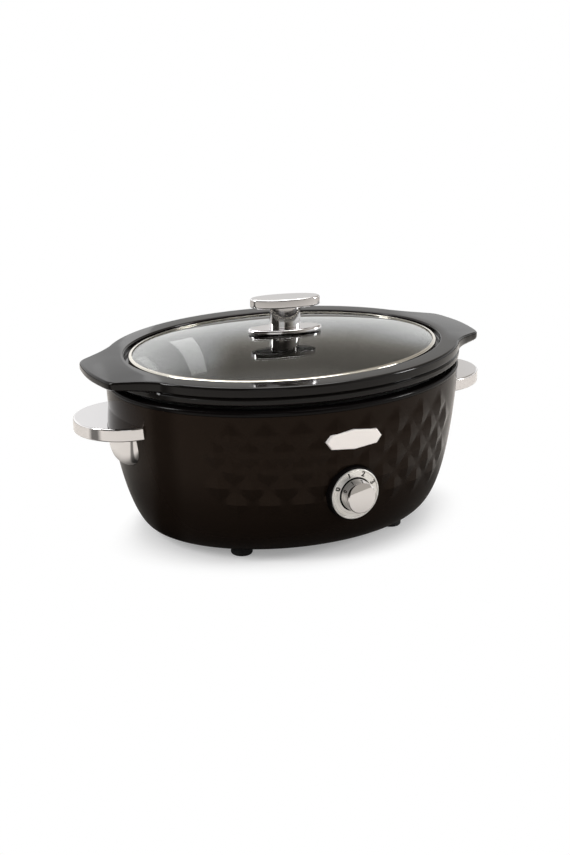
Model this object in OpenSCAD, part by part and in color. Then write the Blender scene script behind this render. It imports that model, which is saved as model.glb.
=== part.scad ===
// Oval slow cooker: a stoneware pot with a glass lid, in a heated housing on four feet.
// Millimetres. +Z is up, X runs along the oval from handle to handle, and the dial faces -Y.

/* [Housing] */
// Room from the pot's side to the housing's top edge, at each end
end_room = 19.5; // [18:0.5:22]
// Room from the pot's side to the housing's top edge, at the front and back
side_room = 22; // [20:0.5:24]
// Half length of the housing at its bottom edge
base_half_l = 135; // [128:0.5:140]
// Half width of the housing at its bottom edge
base_half_w = 103; // [98:0.5:108]
// Height of the housing wall
housing_h = 135; // [133:0.5:140]
// Thickness of the housing wall
wall = 2.6; // [2:0.1:3.2]
// Height of the trim ring on the housing's top edge
trim_h = 4.7; // [4.2:0.1:6]

/* [Diamond pattern] */
// Height of each raised diamond at its centre
diamond_rise = 2; // [1:0.1:2.4]
// Half the height of a diamond
diamond_half_h = 15.6; // [14.5:0.1:16]
// Columns of half diamonds to each side of the middle
diamond_reach = 9; // [7:1:9]

/* [Feet and base] */
// Height of the feet below the housing
foot_h = 9.5; // [8:0.5:12]
// Radius of each foot
foot_r = 10; // [8:0.5:11]
// Distance of each foot's middle from the housing's bottom edge
foot_inset = 14.3; // [12:0.1:14.5]
// Where the feet stand round the oval, in degrees from the middle of the front and back
foot_turn = 40; // [32:1:48]
// Thickness of the base plate
base_t = 2; // [1.5:0.1:2.5]
// Depth that the base plate is let into the housing
base_inset = 1; // [0.5:0.1:2]

/* [Stoneware pot] */
// Half length of the pot just under its rim
pot_half_l = 151; // [145:0.5:157]
// Half width of the pot just under its rim
pot_half_w = 111; // [106:0.5:116]
// How far the rim reaches past the pot's side, without its ears
rim_reach = 21; // [18:0.5:23]
// Height of the rim's outer wall
rim_h = 16.7; // [15:0.1:20]
// Gap between the rim and the trim ring below it
rim_gap = 4.6; // [3:0.1:6]
// How far the pot's wall leans inwards from the rim to its floor
pot_lean = 19; // [16:0.5:22]
// Thickness of the pot's wall
pot_wall = 7; // [6:0.1:8]
// Height of the pot's underside above the table
pot_floor_z = 31; // [30:0.5:34]
// How far the ears reach past the rim
ear_reach = 21.5; // [16:0.5:26]
// Half width of each ear at its outer corners
ear_half_w = 37.5; // [32:0.5:42]
// How far the ears' tips hang below the rim's top
ear_droop = 2.2; // [0:0.1:4]

/* [Glass lid] */
// How far the lid's metal band stays inside the pot's side
lid_inset = 1.2; // [0.6:0.1:2]
// Rise of the glass from its edge to its middle
dome_rise = 13.5; // [8:0.5:18]
// Thickness of the glass
glass_t = 3; // [2.5:0.1:4]
// Turn of the lid's knob as it was tightened, in degrees
lid_knob_turn = -11; // [-20:1:20]
// Height of the knob's stem
stem_h = 20; // [14:0.5:26]
// Half length of the knob's cap
cap_half_l = 33; // [28:0.5:38]
// Half width of the knob's cap
cap_half_w = 12.5; // [10:0.5:16]
// Thickness of the knob's cap
cap_h = 8.4; // [6:0.2:10]

/* [Handles] */
// How far each handle stands out past the housing's top edge
handle_out = 36.5; // [28:0.5:44]
// Half width of the handle at the housing
handle_half_w = 43; // [38:0.5:46]
// Thickness of the grip plate
grip_t = 12; // [9:0.5:14]
// How far the grip's top face lies below the housing's top edge
grip_drop = 20; // [18.5:0.5:25]
// Height of the bracket below the grip
bracket_h = 31; // [26:0.5:33]
// Half width of the bracket at the housing
bracket_half_w = 33; // [28:0.5:36]

/* [Dial] */
// How far the dial's axis lies below the housing's top edge
dial_drop = 76.4; // [74:0.1:80]
// How far the dial plate's face stands out past the housing's top edge
dial_out = 6; // [5:0.5:9]
// Radius of the numbered dial plate
dial_r = 23.1; // [21:0.1:24]
// Radius of the black collar that carries the dial plate
collar_r = 25; // [24.4:0.1:26]
// Radius of the knob at its foot
knob_r = 14.7; // [12:0.1:15]
// Depth of the knob in front of the dial plate
knob_depth = 12; // [9:0.5:15]
// Radius of the switch spindle
spindle_r = 3; // [2.5:0.1:3.4]

/* [Badge] */
// Half length of the badge between its points
badge_half_l = 26.8; // [20:0.2:30]
// Half height of the badge at its middle
badge_half_h = 8.8; // [7:0.1:10]
// How far the badge's middle lies below the housing's top edge
badge_drop = 26.6; // [24:0.1:30]

/* [Cord gland] */
// Radius of the hole that the mains lead passes through
gland_bore_r = 3.6; // [3:0.1:4]
// How far the gland's outer face stands out past the housing's top edge
gland_out = 5.5; // [4:0.5:9]
// Height of the gland above the table
gland_z = 60; // [56:1:64]

/* [Hidden] */
$fn = 64;
fit_gap = 0.1;        // between pieces that are fixed together
run_gap = 0.06;       // radial, between the spindle and its bushing
trim_gap = 0.6;       // between the trim ring's inner edge and the liner
through = 40;         // length of the bits that drill holes, more than any wall they cross

// Everything around the pot takes its size from the pot
housing_half_l = pot_half_l + end_room;
housing_half_w = pot_half_w + side_room;
rim_half_l = pot_half_l + rim_reach;
rim_half_w = pot_half_w + rim_reach;
lid_half_l = pot_half_l - lid_inset;
lid_half_w = pot_half_w - lid_inset;
handle_reach = housing_half_l + handle_out;
dial_reach = housing_half_w + dial_out;
gland_reach = housing_half_w + gland_out;
foot_x = (base_half_l - foot_inset) * sin(foot_turn);
foot_y = (base_half_w - foot_inset) * cos(foot_turn);

// The middle of the whole footprint, dial and gland included, stands at the origin
stand_y = (dial_reach + knob_depth - gland_reach) / 2;
module stand() { translate([0, stand_y, 0]) children(); }

// Heights above the table
base_z = foot_h;
base_under = base_z + base_inset;
base_top = base_under + base_t;
housing_top = base_z + housing_h;
grip_z = housing_top - grip_drop;
dial_z = housing_top - dial_drop;
badge_z = housing_top - badge_drop;
trim_top = housing_top + trim_h;
rim_z = trim_top + rim_gap;
rim_top = rim_z + rim_h;

// ---- Skins of rings: every ring runs anticlockwise as seen from above --------------------
oval_sides = 66;
function oval(a, b, z, n = oval_sides) =
    [for (i = [0:n - 1]) let (t = 360 * i / n) [a * sin(t), -b * cos(t), z]];
function ring_faces(n, j, j2) = [for (i = [0:n - 1])
    let (i2 = (i + 1) % n, a = j * n + i, b = j * n + i2, c = j2 * n + i2, d = j2 * n + i)
    each [[a, d, c], [a, c, b]]];

// A solid between two flat ends; the last rings of a vessel run back down inside it
module skin(rings) {
    n = len(rings[0]);
    last = len(rings) - 1;
    polyhedron([for (r = rings) each r], [
        [for (i = [0:n - 1]) i],
        for (j = [0:last - 1]) each ring_faces(n, j, j + 1),
        [for (i = [n - 1:-1:0]) last * n + i]]);
}

// A band whose section is the closed loop of the rings
module band(rings) {
    n = len(rings[0]);
    m = len(rings);
    polyhedron([for (r = rings) each r], [for (j = [0:m - 1]) each ring_faces(n, j, (j + 1) % m)]);
}

// Ovals inside a given one: each step is [distance inwards, height]
function section(a, b, steps) = [for (s = steps) oval(a - s[0], b - s[0], s[1])];
function backwards(list) = [for (i = [len(list) - 1:-1:0]) list[i]];

// ---- Housing ----------------------------------------------------------------------------
diamond_columns = 66;
diamond_rows = 6;
pattern_top = housing_top - 3.6;
pattern_end = pattern_top - diamond_rows * diamond_half_h;
round_rows = 7;
ledge_w = 17;         // from the bottom edge inwards
ledge_t = 2.5;
// Share of the way from the bottom oval to the top one, at a share u of the height
function swell_l(u) = pow(1 - pow(1 - u, 1.5), 1 / 1.6);
function swell_w(u) = pow(1 - pow(1 - u, 6), 1 / 1.2);
function wall_l(z) = base_half_l + (housing_half_l - base_half_l) * swell_l((z - base_z) / housing_h);
function wall_w(z) = base_half_w + (housing_half_w - base_half_w) * swell_w((z - base_z) / housing_h);

wall_rows = [
    for (i = [0:round_rows - 1]) base_z + (pattern_end - base_z) * pow(i / round_rows, 1.6),
    for (j = [diamond_rows:-1:0]) pattern_top - j * diamond_half_h,
    housing_top];
row_count = len(wall_rows);
top_diamond_row = row_count - 2;
end_diamond_row = round_rows;

// Columns are counted from the middle of the front, and the pattern repeats at the back
function from_middle(k) = let (h = diamond_columns / 2, m = ((k % h) + h) % h) min(m, h - m);
function is_apex(k, r) = (k + 2 * diamond_columns + row_count - r) % 2 == 0;
function rise_at(k, r) = is_apex(k, r) && from_middle(k) < diamond_reach
    && r > end_diamond_row && r < top_diamond_row ? diamond_rise : 0;
function wall_point(k, r, out = 0) =
    let (t = 360 * k / diamond_columns, z = wall_rows[r], o = out + rise_at(k, r))
    [(wall_l(z) + o) * sin(t), -(wall_w(z) + o) * cos(t), z];
// Each cell is folded along the line between its two corners that lie flush in the wall
function cell_faces(a, b, c, d, apex) = apex ? [[a, d, b], [b, d, c]] : [[a, d, c], [a, c, b]];

module housing_shell() {
    n = diamond_columns;
    ledge_top = base_top + ledge_t;
    inside = [
        for (i = [0:5]) housing_top + (pattern_end - housing_top) * i / 6,
        for (r = [end_diamond_row:-1:4]) wall_rows[r],
        ledge_top];
    inner_rings = [
        for (z = inside) oval(wall_l(z) - wall, wall_w(z) - wall, z, n),
        for (z = [ledge_top, base_top]) oval(base_half_l - ledge_w, base_half_w - ledge_w, z, n),
        for (z = [base_top, base_z]) oval(base_half_l - wall, base_half_w - wall, z, n)];
    last = row_count + len(inner_rings) - 1;
    polyhedron([
        for (r = [0:row_count - 1], k = [0:n - 1]) wall_point(k, r),
        for (ring = inner_rings) each ring], [
        for (r = [0:row_count - 2], k = [0:n - 1]) let (k2 = (k + 1) % n)
            each cell_faces(r * n + k, r * n + k2, (r + 1) * n + k2, (r + 1) * n + k, is_apex(k, r)),
        for (j = [row_count - 1:last - 1]) each ring_faces(n, j, j + 1),
        each ring_faces(n, last, 0)]);
}

// A block behind a patch of the wall, between columns k0 and k1 and rows r0 and r1
module wall_block(k0, k1, r0, r1, out) {
    nk = k1 - k0 + 1;
    nr = r1 - r0 + 1;
    s = nk * nr;
    front = [for (r = [r0:r1], k = [k0:k1]) wall_point(k, r, out)];
    back = [for (p = front) [p.x * 0.6, p.y * 0.6, p.z]];
    polyhedron([each front, each back], [
        for (r = [0:nr - 2], k = [0:nk - 2])
            let (a = r * nk + k, faces = cell_faces(a, a + 1, a + nk + 1, a + nk, is_apex(k + k0, r + r0)))
            each [each faces, for (f = faces) [s + f[2], s + f[1], s + f[0]]],
        for (k = [0:nk - 2]) let (a = k, c = (nr - 1) * nk + k)
            each [[a, a + 1, s + a + 1], [a, s + a + 1, s + a], [c + 1, c, s + c], [c + 1, s + c, s + c + 1]],
        for (r = [0:nr - 2]) let (a = r * nk, c = r * nk + nk - 1)
            each [[a + nk, a, s + a], [a + nk, s + a, s + a + nk],
                [c, c + nk, s + c + nk], [c, s + c + nk, s + c]]]);
}

module at_corners(x, y) {
    for (sx = [-1, 1], sy = [-1, 1]) translate([sx * x, sy * y, 0]) children();
}
module at_base_screws() {
    inset = (ledge_w + wall) / 2;
    for (s = [-1, 1]) {
        translate([s * (base_half_l - inset), 0, 0]) children();
        translate([0, s * (base_half_w - inset), 0]) children();
    }
}
// Turns a piece that stands on the XY plane so that it lies on the dial's axis, facing forwards
module on_dial(reach) { translate([0, -reach, dial_z]) rotate([90, 0, 0]) children(); }

module housing() {
    stand() color("#1b1513") difference() {
        housing_shell();
        on_dial(wall_w(dial_z)) cylinder(r = collar_r + fit_gap, h = through, center = true);
        translate([0, wall_w(gland_z), gland_z]) rotate([90, 0, 0])
            cylinder(r = gland_r + fit_gap, h = through, center = true);
        for (side = [-1, 1]) at_handle_screws(side)
            cylinder(r = handle_screw_r + fit_gap, h = through, center = true);
        at_corners(foot_x, foot_y) cylinder(r = foot_screw_r + fit_gap, h = through);
        at_base_screws() cylinder(r = base_screw_r + fit_gap, h = through);
    }
}

// ---- Trim ring --------------------------------------------------------------------------
trim_out = 0.6;       // past the wall below it
flange_seat_w = 9;    // of the ring's top face outside the liner's flange
flange_t = 1.2;
flange_sink = 0.4;
trim_half_l = housing_half_l + trim_out;
trim_half_w = housing_half_w + trim_out;
flange_z = trim_top - flange_t - flange_sink;
liner_gap = 2.8;      // between the pot and the liner
liner_t = 1.2;
liner_out = liner_gap + liner_t;
trim_depth = min(end_room, side_room) + trim_out - liner_out - trim_gap;
module housing_trim() {
    stand() color("#161312") band(section(trim_half_l, trim_half_w, [
        [0.2, housing_top], [0, housing_top + trim_h * 0.5], [0.7, trim_top - 0.8], [2.6, trim_top],
        [flange_seat_w, trim_top], [flange_seat_w, flange_z], [trim_depth, flange_z],
        [trim_depth, housing_top]]));
}

// ---- Base and feet ----------------------------------------------------------------------
foot_screw_r = 2;
base_screw_r = 1.9;
foot_pocket_z = foot_h * 0.45;
module base_plate() {
    edge = wall + 0.4;
    stand() color("#2a2a2c") difference() {
        translate([0, 0, base_under]) linear_extrude(base_t)
            polygon([for (p = oval(base_half_l - edge, base_half_w - edge, 0)) [p.x, p.y]]);
        at_corners(foot_x, foot_y) cylinder(r = foot_screw_r + fit_gap, h = through);
        at_base_screws() cylinder(r = base_screw_r + fit_gap, h = through);
    }
}

module feet() {
    hole = foot_screw_r + fit_gap;
    pocket = foot_r * 0.45;
    stand() color("#101010") at_corners(foot_x, foot_y) rotate_extrude() polygon([
        [hole, foot_pocket_z], [pocket, foot_pocket_z], [pocket, 0],
        for (t = [0:15:90]) [foot_r - 2 + 2 * sin(t), 2 - 2 * cos(t)],
        [foot_r - 0.6, base_under], [hole, base_under]]);
}

// A screw with the outer face of its head at the origin, pointing up
module screw(r, head_r, head_h, length) {
    cylinder(r = head_r, h = head_h);
    cylinder(r = r, h = length);
}
module foot_screws() {
    head_h = 1.8;
    bottom = foot_pocket_z - head_h;
    stand() color("#b8b8b8") at_corners(foot_x, foot_y) translate([0, 0, bottom])
        screw(foot_screw_r, 3.8, head_h, base_top + ledge_t - bottom);
}
module base_screws() {
    head_h = 0.9;
    stand() color("#b8b8b8") at_base_screws() translate([0, 0, base_under - head_h])
        screw(base_screw_r, 3.6, head_h, head_h + base_t + ledge_t);
}

// ---- Heated liner -----------------------------------------------------------------------
pad_t = 2.6;
corner_r = 22;        // between the pot's wall and its floor
heater_t = 1.5;
heater_z = 54;
heater_h = 34;
liner_floor = pot_floor_z - pad_t;
// How far the pot's wall has leant in, at a height
function lean(z) = pot_lean * (rim_z - z) / (rim_z - pot_floor_z);

// A vessel's side, from its floor up: it runs parallel to the pot, a distance out from it
function vessel_steps(out, floor_z, top_z, r) = [
    for (t = [0:18:90]) let (z = floor_z + r * (1 - cos(t))) [lean(z) - out + r * (1 - sin(t)), z],
    [lean(top_z) - out, top_z]];

module liner() {
    flange = flange_seat_w + 0.3;
    brim = [for (z = [flange_z, flange_z + flange_t]) oval(trim_half_l - flange, trim_half_w - flange, z)];
    outer = vessel_steps(liner_out, liner_floor - liner_t, flange_z, corner_r + liner_t);
    inner = vessel_steps(liner_gap, liner_floor, flange_z + flange_t, corner_r);
    stand() color("#c9c9cb") skin([
        each section(pot_half_l, pot_half_w, outer),
        each brim,
        each section(pot_half_l, pot_half_w, backwards(inner))]);
}

// A sleeve around the liner
module sleeve(out, t, z, h) {
    band(section(pot_half_l, pot_half_w, [
        [lean(z) - out - t, z], [lean(z + h) - out - t, z + h],
        [lean(z + h) - out, z + h], [lean(z) - out, z]]));
}
module heater_band() {
    stand() color("#8f8672") sleeve(liner_out + fit_gap, heater_t, heater_z, heater_h);
}
module insulation() {
    margin = 6;
    stand() color("#dcd8c8")
        sleeve(liner_out + heater_t + 2 * fit_gap, 3, heater_z + margin, heater_h - margin);
}

post_x = 62;
post_y = 36;
module liner_posts() {
    stand() color("#9a9a9a") at_corners(post_x, post_y) translate([0, 0, base_top])
        cylinder(r = 4, h = liner_floor - liner_t - base_top);
}
module pot_pads() {
    stand() color("#b0452c") at_corners(post_x, post_y) translate([0, 0, liner_floor])
        cylinder(r = 9, h = pad_t);
}

// ---- Stoneware pot ----------------------------------------------------------------------
pot_floor_t = 8;
lid_gap = 4;          // between the lid's band and the wall of its recess
seat_w = 10;          // of the ledge that the lid's band rests on
seat_z = rim_top - 5.9;
recess_l = lid_half_l + lid_gap;
recess_w = lid_half_w + lid_gap;
mouth_l = recess_l - seat_w;
mouth_w = recess_w - seat_w;

// Right ear, from its middle to where it runs into the rim
ear_bend = [
    [rim_half_l + ear_reach, 0],
    [rim_half_l + ear_reach - 2, ear_half_w * 0.62],
    [rim_half_l + ear_reach - 6, ear_half_w],
    [rim_half_l + 4, ear_half_w + 7.5],
    [rim_half_l - 9, ear_half_w + 15.5]];
ear_end = [rim_half_l * sin(61), rim_half_w * cos(61)];
ear_knots = [each ear_bend, ear_end, [rim_half_l * sin(56), rim_half_w * cos(56)]];
// Smooth curve through four knots, between the second and the third
function spline(p, q, r, s, u) = 0.5 * ((2 * q) + (r - p) * u
    + (2 * p - 5 * q + 4 * r - s) * u * u + (3 * q - p - 3 * r + s) * u * u * u);
function flip_y(p) = [p.x, -p.y];
ear_parts = 3;
half_ear = [for (i = [0:len(ear_knots) - 3], j = [0:ear_parts - 1])
    let (before = i == 0 ? flip_y(ear_knots[1]) : ear_knots[i - 1])
    spline(before, ear_knots[i], ear_knots[i + 1], ear_knots[i + 2], j / ear_parts)];
side_step = 61 / 11;
right_side = [
    for (i = [len(half_ear) - 1:-1:0]) flip_y(half_ear[i]),
    for (i = [1:len(half_ear) - 1]) half_ear[i]];
// Rim outline with both ears, anticlockwise from the middle of the front
rim_outline = [
    for (i = [0:11]) [rim_half_l * sin(i * side_step), -rim_half_w * cos(i * side_step)],
    each right_side,
    for (i = [11:-1:-11]) [rim_half_l * sin(i * side_step), rim_half_w * cos(i * side_step)],
    for (p = right_side) -p,
    for (i = [-11:-1]) [rim_half_l * sin(i * side_step), -rim_half_w * cos(i * side_step)]];
// 1 on the plain rim, and more where an ear reaches past it
function past_rim(p) = norm([p.x / rim_half_l, p.y / rim_half_w]);
function plain_ring(a, b, z) = [for (p = rim_outline) let (q = norm([p.x / a, p.y / b])) [p.x / q, p.y / q, z]];
function eared_ring(inset, z, droop) = [for (p = rim_outline)
    let (k = 1 - inset / norm(p), hang = droop * (past_rim(p) - 1) * rim_half_l / ear_reach)
    [p.x * k, p.y * k, z - hang]];

module pot() {
    outer = vessel_steps(0, pot_floor_z, rim_z, corner_r);
    inner = vessel_steps(-pot_wall, pot_floor_z + pot_floor_t, seat_z - 8, corner_r - pot_wall + 1);
    stand() color("#141210") skin([
        for (s = outer) plain_ring(pot_half_l - s[0], pot_half_w - s[0], s[1]),
        plain_ring(rim_half_l - 1.5, rim_half_w - 1.5, rim_z),
        plain_ring(rim_half_l, rim_half_w, rim_z + 1.5),
        plain_ring(rim_half_l, rim_half_w, rim_z + 5),
        eared_ring(2, rim_z + 6.6, 0),
        eared_ring(0, rim_z + 8.6, 0),
        eared_ring(0, rim_top - 2, ear_droop),
        eared_ring(0.6, rim_top - 0.6, ear_droop),
        eared_ring(2, rim_top, ear_droop),
        plain_ring(rim_half_l - 7, rim_half_w - 7, rim_top),
        plain_ring(recess_l + 1, recess_w + 1, rim_top),
        plain_ring(recess_l, recess_w, rim_top - 1),
        plain_ring(recess_l, recess_w, seat_z),
        plain_ring(mouth_l + 1, mouth_w + 1, seat_z),
        plain_ring(mouth_l, mouth_w, seat_z - 1),
        for (s = backwards(inner)) plain_ring(pot_half_l - s[0], pot_half_w - s[0], s[1])]);
}

// ---- Glass lid --------------------------------------------------------------------------
band_h = 4.8;
band_lip = 3.2;
band_t = 0.8;
glass_edge = seat_z + band_t + fit_gap;
glass_l = lid_half_l - band_t - 0.4;
glass_w = lid_half_w - band_t - 0.4;
lid_hole_r = 3.4;
lid_screw_r = 2.5;
function dome_z(q) = glass_edge + dome_rise * (1 - q * q);
glass_shares = [1, 0.97, 0.88, 0.76, 0.62, 0.46, 0.3, 0.15];
glass_bottom = [for (q = glass_shares) oval(glass_l * q, glass_w * q, dome_z(q))];
glass_top = [for (ring = glass_bottom) [for (p = ring) p + [0, 0, glass_t]]];
glass_crown = dome_z(0.15) + glass_t;

module lid_glass() {
    stand() color("#c8d0d0", 0.4) difference() {
        skin([each backwards(glass_bottom), each glass_top]);
        cylinder(r = lid_hole_r, h = 300);
    }
}
module lid_band() {
    top = glass_edge + glass_t + fit_gap;
    lip_rise = dome_rise / 25;   // the lip follows the slope of the glass
    stand() color("#d8d8da") band(section(lid_half_l, lid_half_w, [
        [0.3, seat_z], [0, seat_z + 0.5], [0, top], [0.4, top + band_t - 0.2], [1, top + band_t],
        [band_lip, top + lip_rise + band_t], [band_lip, top + lip_rise], [band_t, top],
        [band_t, seat_z + band_t],
        [band_lip + 1, seat_z + band_t], [band_lip + 1, seat_z]]));
}

// The knob's pieces lie along X and are turned together
module on_knob(z) { stand() translate([0, 0, z]) rotate([0, 0, lid_knob_turn]) children(); }
gasket_t = 0.8;
gasket_l = 21;
gasket_w = 11;
knob_base_l = 35.3;
knob_base_w = 14;
knob_base_h = 3.8;
stem_l = 14.7;
stem_w = 7;
screw_bite = 12;      // depth of the stem's threaded hole, which the screw fills
knob_base_z = glass_crown + gasket_t;
stem_z = knob_base_z + knob_base_h;
cap_z = stem_z + stem_h;
// A flat oval block with rounded edges
module oval_block(a, b, h, r) {
    skin(section(a, b, [
        for (t = [0:30:90]) [r * (1 - sin(t)), r * (1 - cos(t))],
        for (t = [0:30:90]) [r * (1 - cos(t)), h - r * (1 - sin(t))]]));
}
module lid_gasket() {
    on_knob(glass_crown) color("#303030") difference() {
        linear_extrude(gasket_t) polygon([for (p = oval(gasket_l, gasket_w, 0)) [p.x, p.y]]);
        cylinder(r = lid_screw_r + fit_gap, h = through, center = true);
    }
}
module lid_knob_base() {
    on_knob(knob_base_z) color("#dcdce0") difference() {
        oval_block(knob_base_l, knob_base_w, knob_base_h, 1.2);
        cylinder(r = lid_screw_r + fit_gap, h = through, center = true);
    }
}
module lid_knob_stem() {
    on_knob(stem_z) color("#dcdce0") difference() {
        linear_extrude(stem_h) polygon([for (p = oval(stem_l, stem_w, 0)) [p.x, p.y]]);
        cylinder(r = lid_screw_r, h = 2 * screw_bite, center = true);
        for (s = [-1, 1]) translate([s * 8, 0, stem_h - 6]) cylinder(r = 2, h = 10);
    }
}
module lid_knob_cap() {
    on_knob(cap_z) color("#dcdce0") union() {
        oval_block(cap_half_l, cap_half_w, cap_h, 1.4);
        for (s = [-1, 1]) translate([s * 8, 0, -5]) cylinder(r = 2 - fit_gap / 2, h = 6);
    }
}
washer_t = 1;
module lid_washer() {
    on_knob(glass_crown - glass_t - washer_t) color("#303030") difference() {
        cylinder(r = 9, h = washer_t);
        cylinder(r = lid_screw_r + fit_gap, h = through, center = true);
    }
}
module lid_screw() {
    head_h = 2.2;
    bottom = glass_crown - glass_t - washer_t - head_h;
    on_knob(bottom) color("#b8b8b8") screw(lid_screw_r, 6, head_h, stem_z + screw_bite - bottom);
}

// ---- Handles ----------------------------------------------------------------------------
handle_screw_r = 2;
handle_screw_y = 18;
handle_screw_z = grip_z - grip_t / 2;
handle_root = housing_half_l - 12.5;   // where the grip's round outline begins
handle_screw_l = 19;
saddle_x = wall_l(handle_screw_z) - 11;
bracket_out = 13;
bracket_blunt = 0.77;  // under 1 it is squarer than an oval
// Half oval that stands out from the root, closed well inside the wall
function grip_ring(out, half, z, blunt = 1) = [
    [handle_root - 22, -half, z],
    for (t = [0:7.5:180]) [handle_root + out * pow(sin(t), blunt),
        -half * sign(cos(t)) * pow(abs(cos(t)), blunt), z],
    [handle_root - 22, half, z]];

module right_handle() {
    out = handle_reach - handle_root;
    bottom = grip_z - grip_t;
    difference() {
        skin([
            for (t = [0:18:90]) grip_ring(bracket_out - 4 * (1 - sin(t)),
                bracket_half_w - 18 * (1 - sin(t)), bottom - bracket_h + 20 * (1 - cos(t)), bracket_blunt),
            grip_ring(bracket_out, bracket_half_w, bottom - 1, bracket_blunt),
            grip_ring(out - 1.5, handle_half_w - 1.5, bottom),
            grip_ring(out, handle_half_w, bottom + 1.5),
            grip_ring(out, handle_half_w, grip_z - 1.5),
            grip_ring(out - 0.5, handle_half_w - 0.5, grip_z - 0.5),
            grip_ring(out - 1.5, handle_half_w - 1.5, grip_z)]);
        wall_block(11, 22, end_diamond_row + 2, top_diamond_row, fit_gap);
        for (y = [-handle_screw_y, handle_screw_y]) translate([saddle_x, y, handle_screw_z])
            rotate([0, 90, 0]) cylinder(r = handle_screw_r, h = handle_screw_l + 1);
    }
}
module handle_right() { stand() color("#dcdce0") right_handle(); }
module handle_left() { stand() color("#dcdce0") mirror([1, 0, 0]) right_handle(); }

// Places on the saddles' inner faces, with Z pointing out of the housing
module at_handle_screws(side) {
    for (y = [-handle_screw_y, handle_screw_y])
        translate([side * saddle_x, y, handle_screw_z]) rotate([0, side * 90, 0]) children();
}
module handle_saddles() {
    h = 16;
    half_w = 28;
    deep = 20;
    stand() color("#9a9a9a") for (side = [-1, 1]) difference() {
        intersection() {
            mirror([side < 0 ? 1 : 0, 0, 0])
                wall_block(12, 21, end_diamond_row + 2, top_diamond_row - 1, -wall - fit_gap);
            translate([side < 0 ? -saddle_x - deep : saddle_x, -half_w, handle_screw_z - h / 2])
                cube([deep, 2 * half_w, h]);
        }
        at_handle_screws(side)
            cylinder(r = handle_screw_r + fit_gap, h = through, center = true);
    }
}
module handle_screws() {
    head_h = 2.4;
    stand() color("#b8b8b8") for (side = [-1, 1]) at_handle_screws(side)
        translate([0, 0, -head_h]) screw(handle_screw_r, 4, head_h, head_h + handle_screw_l);
}

// ---- Badge ------------------------------------------------------------------------------
badge_reach = housing_half_w + diamond_rise + 0.9;
module badge() {
    corner_l = badge_half_l * 0.83;
    corner_h = badge_half_h * 0.71;
    tip = [badge_half_l, 0];
    corner = [corner_l, corner_h];
    stand() color("#d9d6d2") difference() {
        translate([0, -badge_reach, badge_z]) rotate([90, 0, 0]) translate([0, 0, -6])
            linear_extrude(6) polygon([
                tip, corner, [0, badge_half_h], [-corner.x, corner.y],
                -tip, -corner, [0, -badge_half_h], [corner.x, -corner.y]]);
        wall_block(-3, 3, top_diamond_row - 3, top_diamond_row, fit_gap);
    }
}

// ---- Dial -------------------------------------------------------------------------------
plate_t = 1.2;
knob_face_r = knob_r - 1.1;
pocket_r = knob_r + 1;
pocket_floor = dial_reach - 9;
collar_back = pocket_floor - 2.5;
bushing_r = 4.5;
bushing_front = pocket_floor + 4.2;
knob_back = dial_reach - 3.2;
switch_r = 13;
switch_h = 15;
module dial_collar() {
    front = dial_reach - plate_t;
    // Section: [radius, distance in front of the collar's back]
    stand() color("#12100f") on_dial(collar_back) rotate_extrude() polygon([
        [bushing_r + fit_gap, 0], [collar_r, 0], [collar_r, front - 5 - collar_back],
        [collar_r - 0.5, front - 1 - collar_back], [collar_r - 1.3, front - collar_back],
        [pocket_r, front - collar_back], [pocket_r, pocket_floor - collar_back],
        [bushing_r + fit_gap, pocket_floor - collar_back]]);
}
module dial_plate() {
    sink = 0.5;
    bead = 1.2;
    stand() color("#d4d4d6") on_dial(dial_reach - plate_t) rotate_extrude() polygon([
        [pocket_r, 0], [dial_r, 0], [dial_r, plate_t - 0.4], [dial_r - 0.4, plate_t],
        [dial_r - bead, plate_t], [dial_r - bead - sink, plate_t - sink], [pocket_r, plate_t - sink]]);
}
module control_knob() {
    h = dial_reach + knob_depth - knob_back;
    skirt = dial_reach - knob_back;
    facet_tilt = 14;
    stand() color("#dcdce0") on_dial(knob_back) difference() {
        rotate_extrude() polygon([
            [spindle_r, 0], [knob_r, 0], [knob_r, skirt], [knob_face_r + 0.2, h - 0.8],
            [knob_face_r - 0.6, h], [0, h], [0, 12], [spindle_r, 12]]);
        // Slanting facet across the top of the face, which shows where the knob points
        rotate([0, 0, 11.5]) translate([-20, 7.4, h]) rotate([-facet_tilt, 0, 0]) cube([40, 30, 10]);
    }
}
module switch_spindle() {
    back = collar_back - 8;
    stand() color("#b8b8b8") on_dial(back) cylinder(r = spindle_r, h = knob_back + 12 - back);
}
module switch_bushing() {
    stand() color("#c2a24a") on_dial(collar_back) difference() {
        cylinder(r = bushing_r, h = bushing_front - collar_back);
        cylinder(r = spindle_r + run_gap, h = through, center = true);
    }
}
module switch_nut() {
    stand() color("#b8b8b8") on_dial(pocket_floor) difference() {
        cylinder(r = 7, h = 2.4, $fn = 6);
        cylinder(r = bushing_r + fit_gap / 2, h = through, center = true);
    }
}
module rotary_switch() {
    stand() color("#3a3a36") on_dial(collar_back - switch_h) difference() {
        cylinder(r = switch_r, h = switch_h);
        translate([0, 0, switch_h - 8.5]) cylinder(r = spindle_r + 0.4, h = 20);
    }
}
module switch_terminals() {
    stand() color("#c2a24a") difference() {
        for (x = [-7.5, -2.5, 2.5, 7.5])
            translate([x - 1.6, -collar_back + 6, dial_z - switch_r - 6]) cube([3.2, 0.8, 12]);
        on_dial(collar_back - switch_h) cylinder(r = switch_r + 0.02, h = switch_h);
    }
}

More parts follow.
